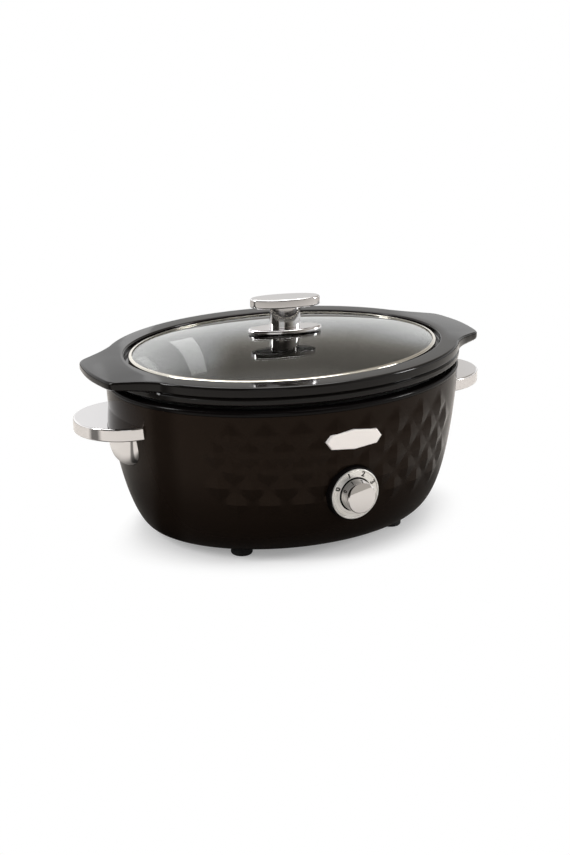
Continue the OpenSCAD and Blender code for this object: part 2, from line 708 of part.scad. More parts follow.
// ---- Wiring inside the base -------------------------------------------------------------
block_x = 44;
block_y = 62;
block_w = 30;
block_d = 16;
block_h = 9;
module terminal_block() {
    stand() color("#e4e0d4") difference() {
        translate([block_x - block_w / 2, block_y - block_d / 2, base_top]) cube([block_w, block_d, block_h]);
        for (x = [-10, 0, 10]) translate([block_x + x, block_y, base_top + block_h - 4])
            cylinder(r = 2.2, h = 10);
    }
}
fuse_r = 2;
fuse_l = 14;
fuse_z = liner_floor - liner_t - fuse_r - fit_gap;
fuse_y = 20;
module thermal_fuse() {
    stand() color("#c8b890") translate([-fuse_l / 2, fuse_y, fuse_z]) rotate([0, 90, 0])
        cylinder(r = fuse_r, h = fuse_l);
}
module fuse_clip() {
    clip_w = 6;
    leg_t = 1;
    inner = fuse_r + 0.2;
    under = liner_floor - liner_t;
    bottom = fuse_z - inner - leg_t;
    stand() color("#9a9a9a") translate([-clip_w / 2, fuse_y, 0]) union() {
        translate([0, -inner - leg_t, bottom]) cube([clip_w, 2 * (inner + leg_t), leg_t]);
        for (s = [-1, 1]) translate([0, s * (inner + leg_t / 2) - leg_t / 2, bottom])
            cube([clip_w, leg_t, under - bottom]);
    }
}
// Tube along a route of points, with eight sides
wire_r = 1.2;
function unit(v) = v / norm(v);
function wire_ring(route, i) =
    let (last = len(route) - 1, along = unit(route[min(i + 1, last)] - route[max(i - 1, 0)]),
        side = unit(cross(along, [1, 0.3, 0.1])), other = cross(along, side))
    [for (t = [0:45:315]) route[i] + wire_r * (side * cos(t) + other * sin(t))];
module wire(route) { skin([for (i = [0:len(route) - 1]) wire_ring(route, i)]); }
wire_z = base_top + 5;
front_tail_x = -24;   // where the wires meet the heater band
back_tail_x = 26;
module wiring() {
    switch_foot = dial_z - switch_r - 6;
    feed_y = -collar_back + 6.4;
    heater_w = pot_half_w - lean(heater_z) + liner_out + heater_t;
    block_front = block_y - block_d / 2;
    stand() color("#a8281e") {
        wire([[block_x - 10, block_front - 0.2, wire_z], [block_x - 8, 30, wire_z], [30, -30, wire_z],
            [16, -80, wire_z], [5, -100, wire_z + 6], [2.5, feed_y + 2, 36], [2.5, feed_y, switch_foot - 0.2]]);
        wire([[-7.5, feed_y, switch_foot - 0.2], [-9, feed_y + 1, switch_foot - 6],
            [-16, feed_y + 3, switch_foot - 8], [-22, -heater_w - 6, heater_z - 4],
            [front_tail_x, -heater_w - 3, heater_z + 2], [front_tail_x, -heater_w + 0.4, heater_z + 3]]);
        wire([[block_x + 10, block_y + block_d / 2 + 0.2, wire_z], [50, 84, wire_z + 2],
            [42, 102, wire_z + 10], [34, heater_w + 6, heater_z - 10],
            [28, heater_w + 3, heater_z + 2], [back_tail_x, heater_w - 0.1, heater_z + 3]]);
    }
}

// ---- Cord gland -------------------------------------------------------------------------
gland_r = 7;
module cord_gland() {
    back = wall_w(gland_z) - wall - 4.5;
    inner_face = wall_w(gland_z - gland_r - 2) - wall - 0.3;
    outer_face = housing_half_w + diamond_rise + 0.1;
    // Section: [radius, distance out from the gland's inner end]
    stand() color("#1a1a1a") translate([0, back, gland_z]) rotate([-90, 0, 0]) rotate_extrude() polygon([
        [gland_bore_r, 0], [gland_r + 2, 0], [gland_r + 2, inner_face - back], [gland_r, inner_face - back],
        [gland_r, outer_face - back], [gland_r + 3, outer_face - back], [gland_r + 3, gland_reach - 1 - back],
        [gland_r + 2, gland_reach - back], [gland_bore_r, gland_reach - back]]);
}

housing();
housing_trim();
base_plate();
feet();
foot_screws();
base_screws();
liner();
heater_band();
insulation();
liner_posts();
pot_pads();
pot();
lid_glass();
lid_band();
lid_gasket();
lid_knob_base();
lid_knob_stem();
lid_knob_cap();
lid_washer();
lid_screw();
handle_left();
handle_right();
handle_saddles();
handle_screws();
badge();
dial_collar();
dial_plate();
control_knob();
switch_spindle();
switch_bushing();
switch_nut();
rotary_switch();
switch_terminals();
terminal_block();
thermal_fuse();
fuse_clip();
wiring();
cord_gland();
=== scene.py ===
# Oval slow cooker: the looks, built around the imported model. Shapes are worked out in
# millimetres in the housing's own frame and placed in metres. +Z is up and the dial faces -Y.
import math
import bpy
import numpy as np
from mathutils import Matrix, Vector


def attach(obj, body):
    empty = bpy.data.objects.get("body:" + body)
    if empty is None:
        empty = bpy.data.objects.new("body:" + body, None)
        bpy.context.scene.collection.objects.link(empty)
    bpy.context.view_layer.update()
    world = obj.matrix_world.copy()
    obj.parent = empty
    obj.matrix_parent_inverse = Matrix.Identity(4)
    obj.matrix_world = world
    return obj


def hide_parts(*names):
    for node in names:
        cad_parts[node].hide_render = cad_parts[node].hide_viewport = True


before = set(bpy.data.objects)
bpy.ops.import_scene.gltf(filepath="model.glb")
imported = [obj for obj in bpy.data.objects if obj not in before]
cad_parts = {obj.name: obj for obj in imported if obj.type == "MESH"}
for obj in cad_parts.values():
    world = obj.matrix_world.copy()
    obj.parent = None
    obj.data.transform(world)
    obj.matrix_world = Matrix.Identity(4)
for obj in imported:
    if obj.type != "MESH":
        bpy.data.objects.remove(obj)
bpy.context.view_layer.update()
STAND_Y = 6.25          # the housing's middle, in millimetres behind the origin


# ---- Materials ------------------------------------------------------------------------------
def colour(code):
    """Linear colour of an sRGB hex value."""
    parts = [int(code[i:i + 2], 16) / 255 for i in (0, 2, 4)]
    return (*[c / 12.92 if c <= 0.04045 else ((c + 0.055) / 1.055) ** 2.4 for c in parts], 1.0)


def add(tree, kind, inputs=None, **settings):
    """Adds a node; inputs maps a socket to a value or to another node's output."""
    made = tree.nodes.new(kind)
    for key, value in settings.items():
        setattr(made, key, value)
    for key, value in (inputs or {}).items():
        if isinstance(value, bpy.types.NodeSocket):
            tree.links.new(value, made.inputs[key])
        else:
            made.inputs[key].default_value = value
    return made


def material(name, base, roughness, **shader):
    """A Principled material; returns it with its tree and shader node."""
    made = bpy.data.materials.new(name)
    made.use_nodes = True
    tree = made.node_tree
    node = tree.nodes["Principled BSDF"]
    node.inputs["Base Color"].default_value = colour(base)
    node.inputs["Roughness"].default_value = roughness
    for key, value in shader.items():
        node.inputs[key.replace("_", " ")].default_value = value
    made.diffuse_color = colour(base)
    return made, tree, node


def grain(tree, node, size_mm, depth_mm, stretch=(1, 1, 1), detail=2, rough=None):
    """Bump and, if asked, a spread of roughness, from noise whose grains are size_mm across."""
    where = add(tree, "ShaderNodeTexCoord").outputs["Object"]
    place = add(tree, "ShaderNodeMapping", {"Vector": where, "Scale": stretch})
    noise = add(tree, "ShaderNodeTexNoise",
                {"Vector": place.outputs[0], "Scale": 1000 / size_mm, "Detail": detail})
    bump = add(tree, "ShaderNodeBump",
               {"Height": noise.outputs[0], "Distance": depth_mm / 1000, "Strength": 1})
    tree.links.new(bump.outputs[0], node.inputs["Normal"])
    if rough:
        spread = add(tree, "ShaderNodeMapRange", {
            "Value": noise.outputs[0], "From Min": 0.3, "From Max": 0.7,
            "To Min": rough[0], "To Max": rough[1]})
        tree.links.new(spread.outputs[0], node.inputs["Roughness"])


def enamelled_steel():
    # Pressed steel under stoved gloss enamel: near-black brown with a faint orange peel
    made, tree, node = material("enamelled_steel", "17110d", 0.16, Specular_IOR_Level=0.1,
                                Specular_Tint=colour("ffe2cc"))
    grain(tree, node, 9, 0.012, rough=(0.13, 0.2))
    return made


def moulded_trim():
    # Glossy injection-moulded plastic: black, with slight sink marks
    made, tree, node = material("moulded_gloss_plastic", "0a0808", 0.12, Specular_IOR_Level=0.1)
    grain(tree, node, 14, 0.01, rough=(0.1, 0.17))
    return made


def glazed_stoneware():
    # Black reactive glaze on stoneware: glassy, gently uneven where it pooled
    made, tree, node = material("glazed_stoneware", "0f0d0c", 0.08, Specular_IOR_Level=0.22)
    grain(tree, node, 26, 0.03, detail=1, rough=(0.06, 0.12))
    return made


def tempered_glass():
    # Clear tempered soda-lime glass, faintly wavy from its rollers
    made, tree, node = material("tempered_glass", "f2f5f2", 0.0, IOR=1.5, Transmission_Weight=1.0)
    grain(tree, node, 60, 0.004, detail=0)
    return made


def bright_chrome():
    # Polished chrome plate: a clean mirror with the faintest buffing haze
    made, tree, node = material("polished_chrome", "dbd9d9", 0.06, Metallic=1.0)
    grain(tree, node, 30, 0.008, detail=1, rough=(0.04, 0.09))
    return made


def rolled_stainless():
    # Rolled stainless rim of the lid, polished along its length
    made, tree, node = material("rolled_stainless", "cfcac0", 0.14, Metallic=1.0)
    grain(tree, node, 3, 0.01, stretch=(0.15, 0.15, 4), rough=(0.1, 0.22))
    return made


def satin_badge():
    # Satin-plated zinc: fine lines along its length
    made, tree, node = material("satin_plated_zinc", "fdf8f5", 0.42, Metallic=0.3)
    grain(tree, node, 1.2, 0.006, stretch=(0.08, 1, 1), rough=(0.3, 0.46))
    return made


def spun_aluminium():
    # Anodised aluminium turned on a lathe: rings about the dial's axis, drawn 0.8 mm apart to show
    made, tree, node = material("spun_anodised_aluminium", "ecebe8", 0.3, Metallic=0.8)
    where = add(tree, "ShaderNodeTexCoord").outputs["Object"]
    centred = add(tree, "ShaderNodeMapping", {"Vector": where, "Location": (0, 0, -0.0681),
                                              "Scale": (1, 0, 1)})
    radius = add(tree, "ShaderNodeVectorMath", {0: centred.outputs[0]}, operation="LENGTH")
    rings = add(tree, "ShaderNodeTexNoise", {"W": radius.outputs["Value"], "Scale": 1250, "Detail": 1},
                noise_dimensions="1D")
    bump = add(tree, "ShaderNodeBump", {"Height": rings.outputs[0], "Distance": 0.00001})
    spread = add(tree, "ShaderNodeMapRange", {"Value": rings.outputs[0], "To Min": 0.22, "To Max": 0.4})
    tree.links.new(bump.outputs[0], node.inputs["Normal"])
    tree.links.new(spread.outputs[0], node.inputs["Roughness"])
    return made


def simple(name, base, roughness, size_mm, depth_mm, spread, **shader):
    """A material whose only detail is its grain and a spread of roughness."""
    made, tree, node = material(name, base, roughness, **shader)
    grain(tree, node, size_mm, depth_mm, rough=spread)
    return made


enamel = enamelled_steel()
trim_plastic = moulded_trim()
glaze = glazed_stoneware()
glass = tempered_glass()
chrome = bright_chrome()
stainless = rolled_stainless()
badge_metal = satin_badge()
spun = spun_aluminium()
# Moulded natural rubber: dull black with a fine grain
rubber = simple("moulded_rubber", "0e0e0e", 0.7, 1.5, 0.03, (0.6, 0.8))
# Silicone pads and washers: soft brick red, slightly waxy
silicone = simple("red_silicone", "8e3322", 0.5, 4, 0.02, (0.45, 0.6))
# Zinc-plated steel fasteners and brackets: dull silver with spangle
zinc = simple("zinc_plated_steel", "a9a9a6", 0.35, 3, 0.01, (0.28, 0.45), Metallic=1.0)
# Aluminised sheet of the heated liner: dull grey-silver, drawn smooth
aluminised = simple("aluminised_sheet", "b4b4b2", 0.38, 7, 0.01, (0.3, 0.48), Metallic=1.0)
# Black powder coat on the base plate: satin with a fine orange peel
powder = simple("black_powder_coat", "232325", 0.45, 1.6, 0.04, (0.38, 0.55))
# Mica heater wrap: brown-grey, matte
mica = simple("mica_wrap", "7d7464", 0.7, 6, 0.1, (0.6, 0.8))
# Glass wool: off-white fibre
wool = simple("glass_wool", "d3cdbf", 0.95, 2.5, 0.5, (0.9, 1.0))
# Phenolic switch body: dark and dull
phenolic = simple("phenolic_moulding", "2b2a26", 0.55, 5, 0.02, (0.48, 0.62))
# Steatite terminal block: cream ceramic
steatite = simple("steatite", "ddd6c6", 0.5, 4, 0.02, (0.42, 0.6))
# Brass contacts and bushing
brass = simple("turned_brass", "c39a4c", 0.28, 3, 0.01, (0.22, 0.38), Metallic=1.0)
# Silicone-sleeved wire
sleeve = simple("red_wire_sleeve", "9c2418", 0.45, 3, 0.02, (0.4, 0.55))
# Screen-printed ink on the dial
ink = simple("screen_printed_ink", "26231f", 0.6, 1, 0.005, (0.5, 0.7))


# ---- Meshes from rings ----------------------------------------------------------------------
def piece(name, points, faces, finish, crease=32, body=None, stands_for=()):
    """A smooth-shaded piece with creases past an angle, riding on a body."""
    mesh = bpy.data.meshes.new(name)
    placed = (np.asarray(points, float) + (0, STAND_Y, 0)) / 1000
    mesh.from_pydata(placed.tolist(), [], faces)
    mesh.validate()
    made = bpy.data.objects.new(name, mesh)
    bpy.context.scene.collection.objects.link(made)
    mesh.materials.append(finish)
    shade(mesh, crease)
    if finish is not glass:     # flat faces stay flat in the gloss, and only the edges turn
        made.modifiers.new("face_weighted_normals", "WEIGHTED_NORMAL").keep_sharp = True
    if body:
        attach(made, body)
        if stands_for:
            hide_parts(*stands_for)
    return made


def shade(mesh, crease):
    mesh.polygons.foreach_set("use_smooth", [True] * len(mesh.polygons))
    mesh.set_sharp_from_angle(angle=math.radians(crease))


def joined(rings, loop=False):
    """Points and faces of a surface through rings that run anticlockwise from above. Without
    loop, its first and last rings are closed with flat ends."""
    n, m = len(rings[0]), len(rings)
    points = [p for ring in rings for p in ring]
    faces = []
    for j in range(m if loop else m - 1):
        low, high = j * n, (j + 1) % m * n
        faces += [(low + i, low + (i + 1) % n, high + (i + 1) % n, high + i) for i in range(n)]
    if not loop:
        faces.append(tuple(range(n - 1, -1, -1)))
        faces.append(tuple((m - 1) * n + i for i in range(n)))
    return points, faces


def oval(a, b, z, sides=264):
    t = np.arange(sides) * 2 * math.pi / sides
    return np.stack([a * np.sin(t), -b * np.cos(t), np.full(sides, float(z))], 1)


def section(a, b, steps, sides=264):
    return [oval(a - inward, b - inward, z, sides) for inward, z in steps]


def rounded(steps, cuts=5):
    """A section's corners rounded: every step marked with a third value gets that radius."""
    out = []
    for i, step in enumerate(steps):
        if len(step) == 2:
            out.append(step)
            continue
        here = Vector(step[:2])
        before = Vector(steps[i - 1][:2]) - here
        after = Vector(steps[(i + 1) % len(steps)][:2]) - here
        reach = min(step[2], before.length * 0.49, after.length * 0.49)
        start, end = here + before.normalized() * reach, here + after.normalized() * reach
        for c in range(cuts + 1):
            u = c / cuts
            point = start * (1 - u) ** 2 + here * 2 * u * (1 - u) + end * u ** 2
            out.append((point.x, point.y))
    return out


# ---- Sizes, as in the part's source ---------------------------------------------------------
HOUSING_L, HOUSING_W, BASE_L, BASE_W = 170.5, 133.0, 135.0, 103.0
BASE_Z, HOUSING_H, WALL = 9.5, 135.0, 2.6
HOUSING_TOP = BASE_Z + HOUSING_H
TRIM_TOP = HOUSING_TOP + 4.7
TRIM_OUT, FLANGE_SEAT, FLANGE_Z = 0.6, 9, TRIM_TOP - 1.6
RIM_L, RIM_W, RIM_H = 172.0, 132.0, 16.7
RIM_Z = TRIM_TOP + 4.6
RIM_TOP = RIM_Z + RIM_H
POT_L, POT_W, POT_LEAN, POT_WALL, POT_FLOOR_Z = 151.0, 111.0, 19.0, 7.0, 31.0
POT_FLOOR_T, CORNER_R, LID_GAP, SEAT_W = 8, 22.0, 4, 10
LINER_GAP, SHEET_T, PAD_T = 2.8, 1.2, 2.6
EAR_REACH, EAR_HALF_W, EAR_DROOP = 21.5, 37.5, 2.2
LID_L, LID_W, DOME_RISE, GLASS_T, KNOB_TURN = 149.8, 109.8, 13.5, 3.0, -11.0
SEAT_Z = RIM_TOP - 5.9
LID_HOLE_R, KNOB_BASE_H, STEM_H, CAP_H, KNOB_SEAT_T = 3.4, 3.8, 20, 8.4, 0.8
GLASS_EDGE = SEAT_Z + 0.9
GLASS_L, GLASS_W = LID_L - 1.2, LID_W - 1.2
COLUMNS, DIAMOND_H, DIAMOND_ROWS, DIAMOND_REACH, DIAMOND_RISE = 66, 15.6, 6, 9, 2.0
PATTERN_TOP = HOUSING_TOP - 3.6
DIAL_Z, DIAL_REACH, COLLAR_R = 68.1, 139.0, 25.0
GRIP_Z, GRIP_T, GRIP_HALF_W, GRIP_REACH = 124.5, 12.0, 43.0, 207.0
BRACKET_H, BRACKET_HALF_W, BRACKET_OUT = 31.0, 33.0, 13.0
BADGE_L, BADGE_H, BADGE_Z = 26.8, 8.8, 117.9


def wall_l(z):
    u = min(max((z - BASE_Z) / HOUSING_H, 0), 1)
    return BASE_L + (HOUSING_L - BASE_L) * (1 - (1 - u) ** 1.5) ** (1 / 1.6)


def wall_w(z):
    u = min(max((z - BASE_Z) / HOUSING_H, 0), 1)
    return BASE_W + (HOUSING_W - BASE_W) * (1 - (1 - u) ** 6) ** (1 / 1.2)


# ---- Housing --------------------------------------------------------------------------------
def diamond_tree():
    """Raises diamonds on a wall that carries its column and row numbers: each is a low pyramid,
    highest where column + row is even, on the rows and columns inside the pattern."""
    tree = bpy.data.node_groups.new("raised_diamonds", "GeometryNodeTree")
    tree.interface.new_socket("Wall", in_out="INPUT", socket_type="NodeSocketGeometry")
    for name, value in (("Rise", DIAMOND_RISE / 1000), ("Columns", COLUMNS),
                        ("Reach", DIAMOND_REACH), ("Rows", DIAMOND_ROWS)):
        socket = tree.interface.new_socket(name, in_out="INPUT", socket_type="NodeSocketFloat")
        socket.default_value = value
    tree.interface.new_socket("Finish", in_out="INPUT", socket_type="NodeSocketMaterial")
    tree.interface.new_socket("Wall", in_out="OUTPUT", socket_type="NodeSocketGeometry")
    given = add(tree, "NodeGroupInput").outputs

    def sum_of(operation, a, b=0.0, c=0.0):
        return add(tree, "ShaderNodeMath", {0: a, 1: b, 2: c}, operation=operation).outputs[0]

    column = add(tree, "GeometryNodeInputNamedAttribute", {"Name": "column"}).outputs[0]
    row = add(tree, "GeometryNodeInputNamedAttribute", {"Name": "row"}).outputs[0]
    rising = sum_of("MULTIPLY", sum_of("ADD", column, row), 0.5)
    falling = sum_of("MULTIPLY", sum_of("SUBTRACT", column, row), 0.5)
    away = sum_of("MAXIMUM", sum_of("PINGPONG", rising, 0.5), sum_of("PINGPONG", falling, 0.5))
    height = sum_of("MULTIPLY_ADD", away, -2.0, 1.0)
    top_column = sum_of("ADD", sum_of("ROUND", rising), sum_of("ROUND", falling))
    top_row = sum_of("SUBTRACT", sum_of("ROUND", rising), sum_of("ROUND", falling))
    half_turn = sum_of("MULTIPLY", given["Columns"], 0.25)
    inside = sum_of("LESS_THAN", sum_of("PINGPONG", top_column, half_turn),
                    sum_of("SUBTRACT", given["Reach"], 0.5))
    below = sum_of("GREATER_THAN", top_row, 0.5)
    above = sum_of("LESS_THAN", top_row, sum_of("SUBTRACT", given["Rows"], 0.5))
    out = sum_of("MULTIPLY", sum_of("MULTIPLY", height, given["Rise"]),
                 sum_of("MULTIPLY", inside, sum_of("MULTIPLY", below, above)))
    turn = sum_of("MULTIPLY", sum_of("DIVIDE", column, given["Columns"]), 2 * math.pi)
    offset = add(tree, "ShaderNodeCombineXYZ", {
        "X": sum_of("MULTIPLY", sum_of("SINE", turn), out),
        "Y": sum_of("MULTIPLY", sum_of("COSINE", turn), sum_of("MULTIPLY", out, -1.0))})
    moved = add(tree, "GeometryNodeSetPosition", {"Geometry": given["Wall"],
                                                  "Offset": offset.outputs[0]})
    real = add(tree, "GeometryNodeRealizeInstances", {"Geometry": moved.outputs[0]})
    done = add(tree, "GeometryNodeSetMaterial", {"Geometry": real.outputs[0],
                                                 "Material": given["Finish"]})
    add(tree, "NodeGroupOutput", {"Wall": done.outputs[0]})
    return tree


def to_plain(made):
    """Turns a piece's modifiers into its own mesh."""
    shown = made.evaluated_get(bpy.context.evaluated_depsgraph_get())
    mesh = bpy.data.meshes.new_from_object(shown)
    made.modifiers.clear()
    made.data = mesh


def cutter(name, radius, start, end, sides=96):
    """A cylinder along Y for cutting, from y start to y end, on the dial's axis."""
    t = np.arange(sides) * 2 * math.pi / sides
    rings = [np.stack([radius * np.cos(t), np.full(sides, y), DIAL_Z + radius * np.sin(t)], 1)
             for y in (end, start)]
    points, faces = joined(rings)
    return piece(name, points, faces, enamel)


def make_housing():
    cells = 4                     # grid steps to one step of the pattern
    n = COLUMNS * cells
    bottom = PATTERN_TOP - DIAMOND_ROWS * DIAMOND_H
    heights = [BASE_Z + (bottom - BASE_Z) * (i / 21) ** 1.6 for i in range(21)]
    heights += [bottom + DIAMOND_H * i / cells for i in range(DIAMOND_ROWS * cells)]
    heights += [PATTERN_TOP, HOUSING_TOP - 1.6, HOUSING_TOP - 0.4, HOUSING_TOP]
    top_edge = 0.4                # the top ring draws in by this much
    outer = []
    for z in heights:
        inward = top_edge if z == HOUSING_TOP else 0
        outer.append(oval(wall_l(z) - inward, wall_w(z) - inward, z, n))
    ledge = 15.0
    inner = [oval(wall_l(z) - WALL, wall_w(z) - WALL, z, n)
             for z in (HOUSING_TOP, 130, 110, 90, 70, bottom, 36, 28, 20, ledge)]
    inner += [oval(BASE_L - 17, BASE_W - 17, z, n) for z in (ledge, 12.5)]
    inner += [oval(BASE_L - WALL, BASE_W - WALL, z, n) for z in (12.5, BASE_Z)]
    rings = outer + inner
    points = np.concatenate(rings)
    faces = []
    for j in range(len(rings)):
        low, high = j * n, (j + 1) % len(rings) * n
        for i in range(n):
            a, b, c, d = low + i, low + (i + 1) % n, high + (i + 1) % n, high + i
            if j < len(outer) - 1:
                # Split along the valleys, which join the corners that lie flush
                row = math.floor((PATTERN_TOP - (heights[j] + heights[j + 1]) / 2) / DIAMOND_H)
                if (i // cells + row) % 2 == 0:
                    faces += [(a, b, c), (a, c, d)]
                else:
                    faces += [(a, b, d), (b, c, d)]
            else:
                faces.append((a, b, c, d))
    made = piece("housing_shell", points, faces, enamel)
    column = np.tile(np.arange(n) / cells, len(rings))
    row = np.full(len(points), -10.0)
    outside = len(outer) * n
    row[:outside] = (PATTERN_TOP - points[:outside, 2]) / DIAMOND_H
    for name, values in (("column", column), ("row", row)):
        field = made.data.attributes.new(name, "FLOAT", "POINT")
        field.data.foreach_set("value", values.astype(np.float32))
    pattern = made.modifiers.new("Diamonds", "NODES")
    pattern.node_group = diamond_tree()
    for item in pattern.node_group.interface.items_tree:
        if item.name == "Finish" and item.in_out == "INPUT":
            pattern[item.identifier] = enamel
    to_plain(made)
    # The dial's hole is the only one cut here; the solid housing also has the gland's and screws'
    hole = cutter("dial_hole", COLLAR_R + 0.1, -150, -110)
    cut = made.modifiers.new("Hole", "BOOLEAN")
    cut.object, cut.operation, cut.solver = hole, "DIFFERENCE", "EXACT"
    to_plain(made)
    bpy.data.objects.remove(hole)
    for name in ("column", "row"):
        if name in made.data.attributes:
            made.data.attributes.remove(made.data.attributes[name])
    shade(made.data, 5)
    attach(made, "housing")
    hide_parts("housing")


def make_trim():
    a, b = HOUSING_L + TRIM_OUT, HOUSING_W + TRIM_OUT
    depth = 15.5
    steps = [(0.3, HOUSING_TOP, 0.3), (0, HOUSING_TOP + 2.3, 1), (0.7, TRIM_TOP - 0.8, 1),
             (2.6, TRIM_TOP, 1.2), (FLANGE_SEAT, TRIM_TOP, 0.4), (FLANGE_SEAT, FLANGE_Z),
             (depth, FLANGE_Z), (depth, HOUSING_TOP)]
    points, faces = joined(section(a, b, rounded(steps)), loop=True)
    piece("trim_ring", points, faces, trim_plastic, body="housing",
          stands_for=["housing_trim"])


# ---- Pot ------------------------------------------------------------------------------------
def ear_curve(cuts=10):
    """Right ear's half outline, from its middle to where it runs into the rim."""
    knots = [(RIM_L + EAR_REACH, 0), (RIM_L + EAR_REACH - 2, EAR_HALF_W * 0.62),
             (RIM_L + EAR_REACH - 6, EAR_HALF_W), (RIM_L + 4, EAR_HALF_W + 7.5),
             (RIM_L - 9, EAR_HALF_W + 15.5)]
    knots += [(RIM_L * math.sin(math.radians(t)), RIM_W * math.cos(math.radians(t))) for t in (61, 56)]
    k = np.array(knots)
    out = []
    for i in range(len(k) - 2):
        p = k[1] * (1, -1) if i == 0 else k[i - 1]
        q, r, s = k[i], k[i + 1], k[i + 2]
        for c in range(cuts):
            u = c / cuts
            out.append(0.5 * (2 * q + (r - p) * u + (2 * p - 5 * q + 4 * r - s) * u * u
                              + (3 * q - p - 3 * r + s) * u ** 3))
    return np.array(out)


def rim_outline():
    """The rim with both ears, anticlockwise from the middle of the front."""
    half = ear_curve()
    steps = 44
    side = [math.radians(61 * i / steps) for i in range(-steps, steps + 1)]
    front = np.array([(RIM_L * math.sin(t), -RIM_W * math.cos(t)) for t in side])
    right = np.concatenate([half[:0:-1] * (1, -1), half])
    return np.concatenate([front[steps:], right, -front, -right, front[:steps]])


OUTLINE = rim_outline()


def plain_ring(a, b, z):
    q = np.hypot(OUTLINE[:, 0] / a, OUTLINE[:, 1] / b)
    return np.column_stack([OUTLINE / q[:, None], np.full(len(OUTLINE), float(z))])


def eared_ring(inset, z, droop):
    past = np.hypot(OUTLINE[:, 0] / RIM_L, OUTLINE[:, 1] / RIM_W)
    shrink = 1 - inset / np.hypot(OUTLINE[:, 0], OUTLINE[:, 1])
    return np.column_stack([OUTLINE * shrink[:, None], z - droop * (past - 1) * RIM_L / EAR_REACH])


def vessel_steps(out, floor_z, top_z, radius, cuts=10):
    def lean(z):
        return POT_LEAN * (RIM_Z - z) / (RIM_Z - POT_FLOOR_Z)
    steps = []
    for c in range(cuts + 1):
        t = math.radians(90 * c / cuts)
        z = floor_z + radius * (1 - math.cos(t))
        steps.append((lean(z) - out + radius * (1 - math.sin(t)), z))
    return steps + [(lean(top_z) - out, top_z)]


def make_pot():
    outer = vessel_steps(0, POT_FLOOR_Z, RIM_Z, CORNER_R)
    rings = [plain_ring(POT_L - s, POT_W - s, z) for s, z in outer]
    for t in range(0, 91, 18):
        k = math.radians(t)
        rings.append(plain_ring(RIM_L - 2.2 * (1 - math.sin(k)), RIM_W - 2.2 * (1 - math.sin(k)),
                                RIM_Z + 2.2 * (1 - math.cos(k))))
    rings += [plain_ring(RIM_L, RIM_W, RIM_Z + 5), eared_ring(2, RIM_Z + 6.6, 0)]
    rings += [eared_ring(0.5, RIM_Z + 7.6, 0), eared_ring(0, RIM_Z + 8.8, 0)]
    edge = 2.4
    for t in range(0, 91, 15):
        k = math.radians(t)
        rings.append(eared_ring(edge * (1 - math.cos(k)), RIM_TOP - edge * (1 - math.sin(k)),
                                EAR_DROOP))
    recess_l, recess_w = LID_L + LID_GAP, LID_W + LID_GAP
    rings += [plain_ring(RIM_L - 8, RIM_W - 8, RIM_TOP)]
    for t in range(0, 91, 18):
        k = math.radians(t)
        s = 1.6 * (1 - math.sin(k))
        rings.append(plain_ring(recess_l + s, recess_w + s, RIM_TOP - 1.6 * (1 - math.cos(k))))
    rings += [plain_ring(recess_l, recess_w, SEAT_Z + 0.8),
              plain_ring(recess_l - 0.8, recess_w - 0.8, SEAT_Z)]
    mouth_l, mouth_w = recess_l - SEAT_W, recess_w - SEAT_W
    for t in range(0, 91, 30):
        k = math.radians(t)
        s = 1.2 * (1 - math.sin(k))
        rings.append(plain_ring(mouth_l + s, mouth_w + s, SEAT_Z - 1.2 * (1 - math.cos(k))))
    inner = vessel_steps(-POT_WALL, POT_FLOOR_Z + POT_FLOOR_T, SEAT_Z - 8, CORNER_R - POT_WALL + 1)
    rings += [plain_ring(POT_L - s, POT_W - s, z) for s, z in reversed(inner)]
    points, faces = joined(rings)
    piece("stoneware_pot", points, faces, glaze, crease=40, body="pot",
          stands_for=["pot"])


def make_liner():
    """Drawn well that the pot stands in, with a flange that rests in the trim ring."""
    floor_z, brim_z = POT_FLOOR_Z - PAD_T, FLANGE_Z + SHEET_T
    outer = vessel_steps(LINER_GAP + SHEET_T, floor_z - SHEET_T, FLANGE_Z, CORNER_R + SHEET_T)
    rings = section(POT_L, POT_W, outer)
    flange = (HOUSING_L + TRIM_OUT - 9.3, HOUSING_W + TRIM_OUT - 9.3)
    rings += [oval(*flange, FLANGE_Z), oval(*flange, brim_z)]
    inner = vessel_steps(LINER_GAP, floor_z, brim_z, CORNER_R)
    rings += section(POT_L, POT_W, inner[::-1])
    points, faces = joined(rings)
    piece("heated_liner", points, faces, aluminised, body="housing",
          stands_for=["liner"])


# ---- Lid ------------------------------------------------------------------------------------
def turned(points):
    """Pieces of the knob, turned together about the lid's middle."""
    t = math.radians(KNOB_TURN)
    spin = np.array([[math.cos(t), math.sin(t), 0], [-math.sin(t), math.cos(t), 0], [0, 0, 1]])
    return np.asarray(points, float) @ spin


def blunt_oval(a, b, z, blunt=2.0, sides=192):
    t = np.arange(sides) * 2 * math.pi / sides
    x, y = np.sin(t), -np.cos(t)
    return np.column_stack([a * np.sign(x) * np.abs(x) ** (2 / blunt),
                            b * np.sign(y) * np.abs(y) ** (2 / blunt), np.full(sides, float(z))])


